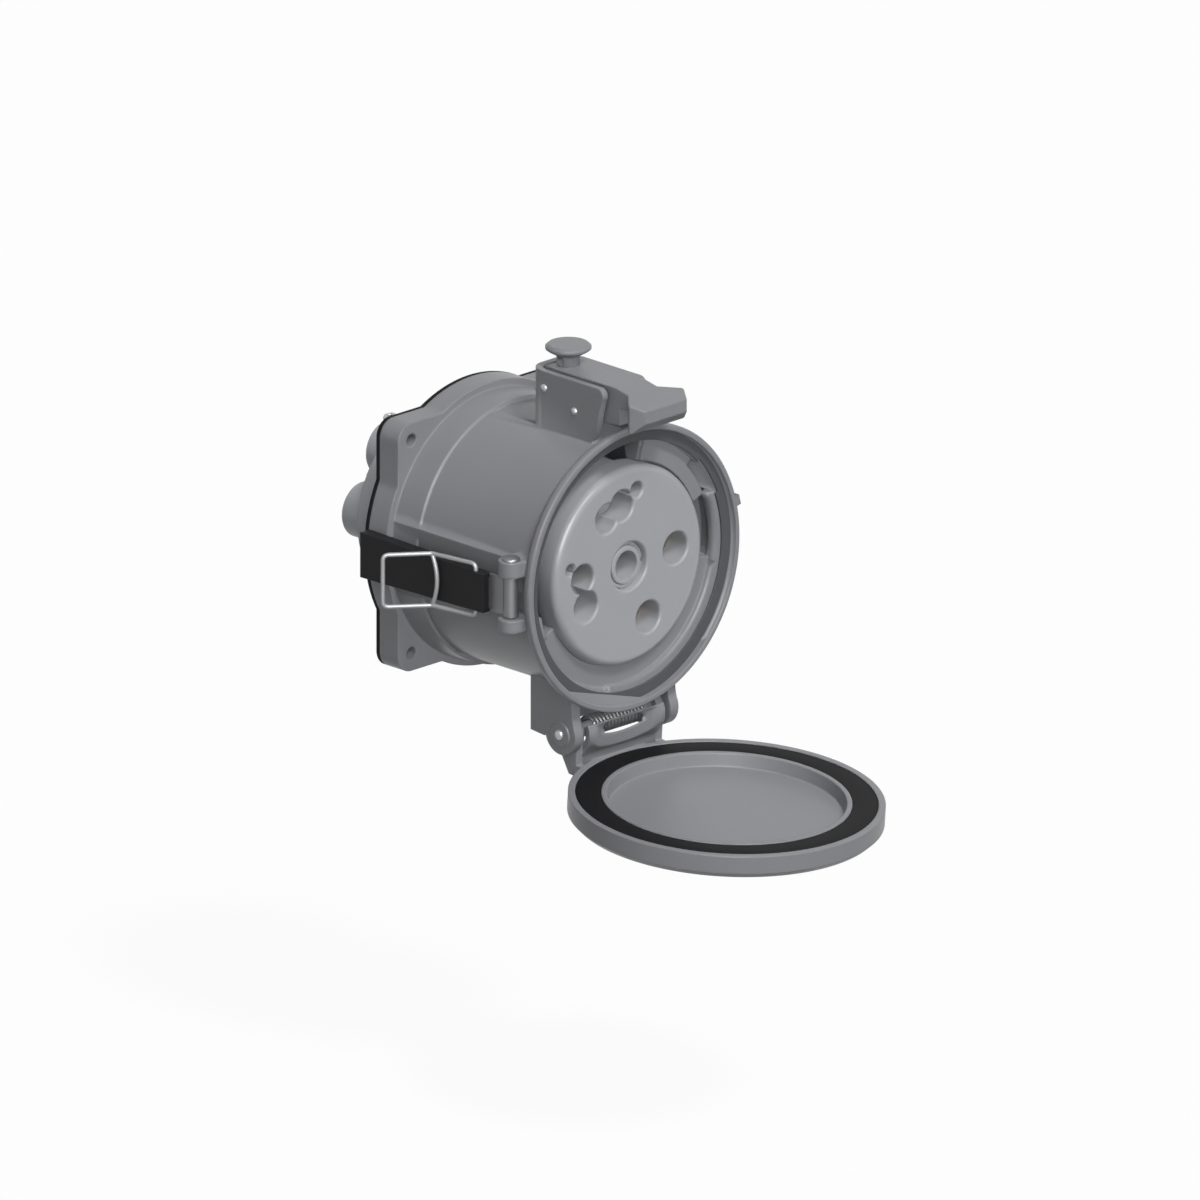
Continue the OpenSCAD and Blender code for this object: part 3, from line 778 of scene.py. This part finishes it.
@dataclass(frozen=True)
class Zone:
    """A box whose sharp edges are rounded.

    Attributes:
        low: Lowest corner, in millimetres.
        high: Highest corner.
        width: Width of the rounding.
        radii: Least and greatest distance from the socket's axis.
    """

    low: tuple[float, float, float]
    high: tuple[float, float, float]
    width: float
    radii: tuple[float, float] = (0.0, 999.0)


@dataclass(frozen=True)
class Flare:
    """The rounded mouth of a round hole that runs along the socket's axis.

    Attributes:
        at: The hole's centre across and up.
        radius: The hole's radius.
        front: Depth of the face that it opens on.
        width: Radius of the rounding.
    """

    at: tuple[float, float]
    radius: float
    front: float
    width: float

    def cutter(self, name: str) -> Object:
        """A plug with a trumpet-shaped flare, for cutting the mouth.

        The flare follows (radius + width - width cos u, front - width + width sin u) for u from
        0 to a quarter turn, turned about the hole's own line.

        Args:
            name: Name of the plug.

        Returns:
            The plug.
        """
        u = np.linspace(0, TAU / 4, 7)
        r = self.radius + self.width - self.width * np.cos(u)
        t = self.front - self.width + self.width * np.sin(u)
        ends = np.array([[0, self.front - self.width - 1], [self.radius - 0.04, 0]])
        ends[1, 1] = self.front - self.width - 1
        top = np.array([[r[-1] + 0.3, self.front + 1], [0, self.front + 1]])
        profile = np.vstack([ends, np.stack([r, t], -1)[1:], top])
        a = np.linspace(0, TAU, 72, endpoint=False)[None, :]
        rr, tt = profile[:, 0][:, None], profile[:, 1][:, None]
        points = np.stack(
            [self.at[0] + rr * np.cos(a), -(tt + 0 * a), self.at[1] + rr * np.sin(a)], -1
        )
        cutter = bpy.data.objects.new(name, grid_mesh(name, points, False, True))
        bpy.context.scene.collection.objects.link(cutter)
        return cutter


def weigh_edges(mesh: Mesh, zones: tuple[Zone, ...], widest: float, least: float) -> None:
    """Gives the sharp edges in the zones their share of the widest rounding.

    An edge's turn is the angle between the normals of its two faces. Edges shorter than 0.45 mm,
    as round small holes, are left sharp.

    Args:
        mesh: The mesh to weigh.
        zones: Boxes and their widths; a later zone wins.
        widest: The widest rounding, in metres.
        least: Least turn of an edge that is rounded, in radians.
    """
    faces, edges = len(mesh.polygons), len(mesh.edges)
    normals = np.zeros(faces * 3, np.float32)
    mesh.polygons.foreach_get("normal", normals)
    normals = normals.reshape(-1, 3)
    ends = np.zeros(edges * 2, np.int32)
    mesh.edges.foreach_get("vertices", ends)
    places = np.zeros(len(mesh.vertices) * 3, np.float32)
    mesh.vertices.foreach_get("co", places)
    pairs = places.reshape(-1, 3)[ends.reshape(-1, 2)] / MM
    corner_edge = np.zeros(len(mesh.loops), np.int32)
    mesh.loops.foreach_get("edge_index", corner_edge)
    sizes = np.zeros(faces, np.int32)
    mesh.polygons.foreach_get("loop_total", sizes)
    total = np.zeros((edges, 3))
    np.add.at(total, corner_edge, normals[np.repeat(np.arange(faces), sizes)])
    turn = np.arccos(np.clip(np.linalg.norm(total, axis=1) / 2, 0, 1)) * 2
    length = np.linalg.norm(pairs[:, 0] - pairs[:, 1], axis=1)
    sharp = (turn > least) & (length > 0.45)
    middle = pairs.mean(1)
    radius = np.hypot(middle[:, 0], middle[:, 2])
    weights = np.zeros(edges, np.float32)
    for zone in zones:
        inside = sharp & ((middle > zone.low) & (middle < zone.high)).all(1)
        inside &= (radius > zone.radii[0]) & (radius < zone.radii[1])
        weights[inside] = zone.width * MM / widest
    attribute = mesh.attributes.new("bevel_weight_edge", "FLOAT", "EDGE")
    attribute.data.foreach_set("value", weights)


@dataclass
class Housing:
    """The casting, its gasket and its seal."""

    shop: Workshop

    def build(self) -> None:
        """Builds and dresses the pieces."""
        zones = (
            Zone((-70, -15.8, -70), (70, -14.8, 70), 1.6, (70.0, 99.0)),
            Zone((-80, -32.0, -80), (80, -31.5, 80), 1.0, (66.9, 80.0)),
            Zone((-15.8, -109, 68), (15.8, -55, 95), 1.1),
            Zone((-37, -115, -100), (37, -70, -70), 0.9),
            Zone((-81, -110, -19), (-66, -95, 20), 0.8),
        )
        self.shop.softened("body_casting", Body.SOCKET, Finishes.CASTING, zones=zones)
        self.shop.softened("flange_gasket", Body.SOCKET, Finishes.RUBBER, 0.5, 2)
        self.shop.softened("rim_seal", Body.SOCKET, Finishes.SEAL, 0.25, 2)


@dataclass
class ContactBlock:
    """The disc, the insulating block and the contacts in it."""

    shop: Workshop
    disc_front: float = 111.5
    mouth_round: float = 1.4
    pole_a: tuple[float, float] = (-15.416, 28.042)
    pole_b: tuple[float, float] = (31.95, 1.786)
    pole_c: tuple[float, float] = (13.118, -29.188)
    pole_d: tuple[float, float] = (-31.996, 0.503)
    second_a: tuple[float, float] = (-5.016, 32.342)
    second_d: tuple[float, float] = (-29.596, -13.997)
    pilot_a: tuple[float, float] = (5.184, 38.142)
    pilot_d: tuple[float, float] = (-40.296, 7.103)

    def build(self) -> None:
        """Builds and dresses the pieces."""
        shop = self.shop
        flares = tuple(
            Flare(at, radius, self.disc_front, self.mouth_round)
            for at, radius in (
                (self.pole_b, 8.1), (self.pole_c, 8.1), (self.pole_a, 7.5), (self.pole_d, 7.5),
                (self.second_a, 7.9), (self.second_d, 7.9), (self.pilot_a, 4.0),
                (self.pilot_d, 3.0), ((0.0, 0.0), 12.2),
            )
        )
        shop.softened("safety_disc", Body.DISC, Finishes.DISC, 0, flares=flares)
        shop.softened("disc_retainer", Body.SOCKET, Finishes.DISC, 0.3, 2)
        shop.softened("contact_carrier", Body.SOCKET, Finishes.BLOCK, 1.0)
        for node in ("carrier_ring", "carrier_screws", "contact_clips", "terminal_screws"):
            shop.dress(node, Finishes.STEEL)
        for node in ("phase_contacts", "neutral_contact", "earth_contact", "pilot_contacts"):
            shop.dress(node, Finishes.BRASS)


@dataclass
class Latch:
    """The pawl, its button, pins and spring."""

    shop: Workshop
    pin_radius: float = 1.88
    pin_half: float = 16.2
    pin_at: tuple[float, float] = (-88.5, 78.1)
    stop_radius: float = 1.98
    stop_half: float = 16.0
    stop_at: tuple[float, float] = (-67.3, 85.0)
    spring_radius: float = 4.2
    spring_wire: float = 0.6
    spring_pitch: float = 3.65
    spring_turns: float = 6.5
    spring_foot: tuple[float, float, float] = (0.0, -75.5, 66.55)
    spring_keep: float = 0.88

    def build(self) -> None:
        """Builds and dresses the pieces."""
        shop = self.shop
        shop.softened("latch_pawl", Body.PAWL, Finishes.CASTING, 1.2)
        shop.softened("push_button", Body.PAWL, Finishes.LIGHT_CAST, 0.7)
        for node, radius, half, at in (
            ("latch_pin", self.pin_radius, self.pin_half, self.pin_at),
            ("stop_pin", self.stop_radius, self.stop_half, self.stop_at),
        ):
            mesh = turned(node, domed(radius, -half, half, 0.8), at, 0)
            shop.place(mesh, node + "_body", Body.SOCKET, Finishes.STEEL, (node,))
        self._spring()

    def _spring(self) -> None:
        """Winds the pawl's spring, upright between the housing and the arm."""
        path = helix(self.spring_radius, self.spring_pitch, self.spring_turns, 0)
        path = np.array(self.spring_foot) + path[:, [1, 2, 0]]
        mesh = tube("latch_spring", path, self.spring_wire, np.array([0.0, 0.0, 1.0]), 10)
        wire = self.shop.place(
            mesh, "latch_spring_wire", Body.SOCKET, Finishes.SPRING, ("latch_spring",)
        )
        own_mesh(wire)


@dataclass
class Lid:
    """The lid with its gasket, pin and spring."""

    shop: Workshop
    hinge: tuple[float, float] = (-99.3, -81.3)
    pin_radius: float = 2.58
    pin_half: float = 37.7
    open_angle: float = 94.2
    gasket_radii: tuple[float, float] = (61.55, 74.35)
    gasket_depths: tuple[float, float] = (115.6, 117.1)
    spring_start: float = -18.0
    spring_radius: float = 4.4
    spring_wire: float = 1.05
    spring_pitch: float = 2.35
    spring_turns: float = 15.0
    spring_leg: float = 6.0

    def build(self) -> None:
        """Builds and dresses the pieces."""
        shop = self.shop
        shop.softened("lid", Body.LID, Finishes.CASTING, 1.2)
        mesh = turned("lid_pin", domed(self.pin_radius, -self.pin_half, self.pin_half, 1.1),
                      self.hinge, 0)
        shop.place(mesh, "lid_pin_body", Body.SOCKET, Finishes.STEEL, ("lid_pin",))
        self._gasket()
        self._spring()

    def _gasket(self) -> None:
        """Turns the sealing ring with rounded edges and swings it to the open place.

        The ring's outline, in radius and depth, goes round the socket's axis, and each point
        then turns about the hinge by the open angle.
        """
        inner, outer = self.gasket_radii
        back, front = self.gasket_depths
        corners = np.array([[inner, back], [outer, back], [outer, front], [inner, front]])
        outline = rounded_loop(corners, np.array([0.5, 0.5, 0.3, 0.3]), 4)
        a = np.linspace(0, TAU, 192, endpoint=False)[:, None]
        x = outline[:, 0][None, :] * np.cos(a)
        up = outline[:, 0][None, :] * np.sin(a) - self.hinge[1]
        out = outline[:, 1][None, :] + 0 * a + self.hinge[0]
        turn = math.radians(self.open_angle)
        high = self.hinge[1] + up * math.cos(turn) - out * math.sin(turn)
        depth = -self.hinge[0] + up * math.sin(turn) + out * math.cos(turn)
        mesh = grid_mesh("lid_gasket", np.stack([x, -depth, high], -1), True, True)
        self.shop.place(mesh, "lid_gasket_ring", Body.LID, Finishes.RUBBER, ("lid_gasket",))

    def _spring(self) -> None:
        """Winds the closing spring round the pin, with a straight leg at each end."""
        coil = helix(self.spring_radius, self.spring_pitch, self.spring_turns, 0, 40)
        a = math.radians(200.0)
        x = self.spring_start + coil[:, 0]
        turn = np.arctan2(coil[:, 2], coil[:, 1]) + a
        y, z = self.spring_radius * np.cos(turn), self.spring_radius * np.sin(turn)
        path = np.stack([x, y, z], -1)
        lead = np.array([0.0, -math.sin(a), math.cos(a)]) * self.spring_leg
        path = np.vstack([path[:1] - lead, path, path[-1:] + lead])
        path = path + np.array([0.0, self.hinge[0], self.hinge[1]])
        mesh = tube("lid_spring", path, self.spring_wire, np.array([1.0, 0.0, 0.0]), 12)
        self.shop.place(mesh, "lid_spring_wire", Body.SOCKET, Finishes.SPRING, ("lid_spring",))


@dataclass
class SideLever:
    """The lever with its strip, sleeve, pin and wire bail."""

    shop: Workshop
    pin_at: tuple[float, float] = (-73.0, -102.8)
    pivot: tuple[float, float] = (-76.6, -82.0)
    kink: tuple[float, float] = (-80.5, -55.5)
    end: tuple[float, float] = (-99.5, -40.5)
    middle: float = -1.0
    half_width: float = 13.4
    inner_half: float = 6.4
    wire: float = 1.1
    bow: float = 3.5

    def build(self) -> None:
        """Builds and dresses the pieces."""
        shop = self.shop
        shop.softened("lever_strip", Body.LEVER, Finishes.STRIP, 0.3, 2)
        shop.softened("lever_sleeve", Body.LEVER, Finishes.SLEEVE, 1.1, 4)
        self._pin()
        self._bail()

    def _pin(self) -> None:
        """Turns the rivet: a shank with a flat round head on top."""
        shank, head = 1.98, 4.6
        profile = np.array([
            [0, -19.2], [1.0, -19.1], [1.6, -18.7], [shank, -17.9], [shank, 18.5], [head, 18.5],
            [head, 19.1], [4.3, 19.6], [3.6, 20.1], [2.4, 20.4], [0, 20.5],
        ])
        mesh = turned("lever_pin", profile, self.pin_at, 2)
        mesh.set_sharp_from_angle(angle=math.radians(50))
        self.shop.place(mesh, "lever_pin_body", Body.SOCKET, Finishes.STRIP, ("lever_pin",))

    def _bail(self) -> None:
        """Bends the bail from one wire and sets its bowed cross bar.

        The wire runs in from one pivot, out along a leg, across and back. The bar is a parabola:
        its depth leaves the kink's by the bow times one minus the square of its height share.
        """
        low, high = self.middle - self.half_width, self.middle + self.half_width
        corners = np.array([
            [*self.pivot, self.middle + self.inner_half], [*self.pivot, high], [*self.kink, high],
            [*self.end, high], [*self.end, low], [*self.kink, low], [*self.pivot, low],
            [*self.pivot, self.middle - self.inner_half],
        ])
        path = bent_path(corners, 3.0, 9)
        across = np.array([0.63, -0.77, 0.0])
        frame = tube("wire_bail", path, self.wire, along_plane(path), 14)
        t = np.linspace(-1, 1, 25)
        bar = np.stack([
            np.full_like(t, self.kink[0]),
            self.kink[1] - self.bow * (1 - t**2),
            self.middle + self.half_width * t,
        ], -1)
        cross = tube("bail_bar", bar, self.wire * 0.98, across, 14)
        self.shop.place(frame, "bail_frame", Body.BAIL, Finishes.WIRE, ("wire_bail",))
        self.shop.place(cross, "bail_bar", Body.BAIL, Finishes.WIRE)


# ------------------------------------------------------------------ studio


@dataclass
class Studio:
    """Camera, lamps, world and floor."""

    target: Vector = field(default_factory=lambda: Vector((0.0361, -0.0546, -0.0396)))
    azimuth: float = 44.754
    elevation: float = 18.635
    width: float = 0.58706
    distance: float = 2.0
    floor_drop: float = 0.16

    def build(self, low: float) -> None:
        """Builds the studio.

        Args:
            low: Height of the lowest point of the part, in metres.
        """
        self._camera()
        self._lamps()
        self._world()
        self._floor(low - self.floor_drop)

    def _camera(self) -> None:
        """Puts an orthographic camera in front, to the left and above."""
        a, e = math.radians(self.azimuth), math.radians(self.elevation)
        towards = Vector(
            (-math.sin(a) * math.cos(e), -math.cos(a) * math.cos(e), math.sin(e))
        )
        data = bpy.data.cameras.new("camera")
        data.type = "ORTHO"
        data.ortho_scale = self.width
        camera = bpy.data.objects.new("camera", data)
        camera.location = self.target + towards * self.distance
        camera.rotation_euler = towards.to_track_quat("Z", "Y").to_euler()
        bpy.context.scene.collection.objects.link(camera)
        bpy.context.scene.camera = camera

    def _lamps(self) -> None:
        """Adds a soft key from above, a weak front lamp, and one that only lights gloss."""
        for name, towards, strength, spread, shadow, gloss_only in (
            ("key", Vector((-0.1, -0.6, 0.79)), 1.3, 11.0, True, False),
            ("key_open", Vector((-0.1, -0.6, 0.79)), 1.3, 11.0, False, False),
            ("front", Vector((-0.64, -0.67, 0.38)), 0.75, 30.0, True, False),
            ("glint", Vector((-0.60, -0.67, 0.44)), 9.0, 36.0, True, True),
        ):
            data = bpy.data.lights.new(name, "SUN")
            data.energy = strength
            data.angle = math.radians(spread)
            data.use_shadow = shadow
            lamp = bpy.data.objects.new(name, data)
            lamp.visible_diffuse = not gloss_only
            lamp.rotation_euler = towards.to_track_quat("Z", "Y").to_euler()
            bpy.context.scene.collection.objects.link(lamp)

    def _world(self) -> None:
        """Sets a plain world: soft grey light, white to the camera and in gloss."""
        world = bpy.data.worlds.new("studio")
        bpy.context.scene.world = world
        world.use_nodes = True
        tree = world.node_tree
        tree.nodes.clear()
        out = tree.nodes.new("ShaderNodeOutputWorld")
        soft = tree.nodes.new("ShaderNodeBackground")
        soft.inputs["Color"].default_value = (1, 1, 1, 1)
        soft.inputs["Strength"].default_value = 0.13
        white = tree.nodes.new("ShaderNodeBackground")
        white.inputs["Color"].default_value = (1, 1, 1, 1)
        white.inputs["Strength"].default_value = 1.0
        mix = tree.nodes.new("ShaderNodeMixShader")
        tree.links.new(self._seen(tree), mix.inputs[0])
        tree.links.new(soft.outputs[0], mix.inputs[1])
        tree.links.new(white.outputs[0], mix.inputs[2])
        tree.links.new(mix.outputs[0], out.inputs[0])

    @staticmethod
    def _seen(tree: bpy.types.NodeTree) -> bpy.types.NodeSocket:
        """A mask that is one for camera, glossy and transmission rays, and zero for the rest.

        Args:
            tree: The node tree that takes the mask.

        Returns:
            The mask's socket.
        """
        light = tree.nodes.new("ShaderNodeLightPath")
        seen = light.outputs["Is Camera Ray"]
        for name in ("Is Glossy Ray", "Is Transmission Ray"):
            either = tree.nodes.new("ShaderNodeMath")
            either.operation = "MAXIMUM"
            tree.links.new(seen, either.inputs[0])
            tree.links.new(light.outputs[name], either.inputs[1])
            seen = either.outputs[0]
        return seen

    def _floor(self, height: float) -> None:
        """Adds a plain pale floor that reads white and keeps a soft shadow.

        Args:
            height: Height of the floor, in metres.
        """
        half = 6.0
        corners = [(-half, -half), (half, -half), (half, half), (-half, half)]
        mesh = bpy.data.meshes.new("floor")
        mesh.from_pydata(
            [(x, y, height) for x, y in corners],
            [],
            [(0, 1, 2, 3)],
        )
        floor = bpy.data.objects.new("floor", mesh)
        bpy.context.scene.collection.objects.link(floor)
        material = bpy.data.materials.new("pale_floor")
        material.use_nodes = True
        tree = material.node_tree
        shader = tree.nodes["Principled BSDF"]
        seen = self._seen(tree)
        tone = tree.nodes.new("ShaderNodeMix")
        tone.data_type = "RGBA"
        tone.inputs[6].default_value = (0.2, 0.2, 0.2, 1)
        tone.inputs[7].default_value = (0.92, 0.92, 0.92, 1)
        tree.links.new(seen, tone.inputs["Factor"])
        tree.links.new(tone.outputs[2], shader.inputs["Base Color"])
        shader.inputs["Roughness"].default_value = 0.9
        out = tree.nodes["Material Output"]
        glow = tree.nodes.new("ShaderNodeEmission")
        glow.inputs["Strength"].default_value = 1.0
        share = tree.nodes.new("ShaderNodeMath")
        share.operation = "MULTIPLY"
        share.inputs[1].default_value = 0.9
        mix = tree.nodes.new("ShaderNodeMixShader")
        tree.links.new(seen, share.inputs[0])
        tree.links.new(share.outputs[0], mix.inputs[0])
        tree.links.new(shader.outputs[0], mix.inputs[1])
        tree.links.new(glow.outputs[0], mix.inputs[2])
        tree.links.new(mix.outputs[0], out.inputs["Surface"])
        mesh.materials.append(material)
        floor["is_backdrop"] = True


def as_numbers(bounds: object) -> list:
    """Nested plain lists of a box.

    Args:
        bounds: The two corners of the box.

    Returns:
        The corners as lists of numbers.
    """
    return [[float(v) for v in corner] for corner in bounds]


def main() -> None:
    """Builds the socket around the frame, then the studio."""
    logging.basicConfig(level=logging.INFO, format="%(name)s: %(message)s")
    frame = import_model()
    packed = as_numbers(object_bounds())
    bpy.context.scene.view_settings.view_transform = "Standard"
    shop = Workshop(frame["nodes"], PaintShop())
    for part in (Housing, ContactBlock, Latch, Lid, SideLever):
        part(shop).build()
        log.info("built %s", part.__name__)
    Studio().build(packed[0][2])


if __name__ == "__main__":
    main()
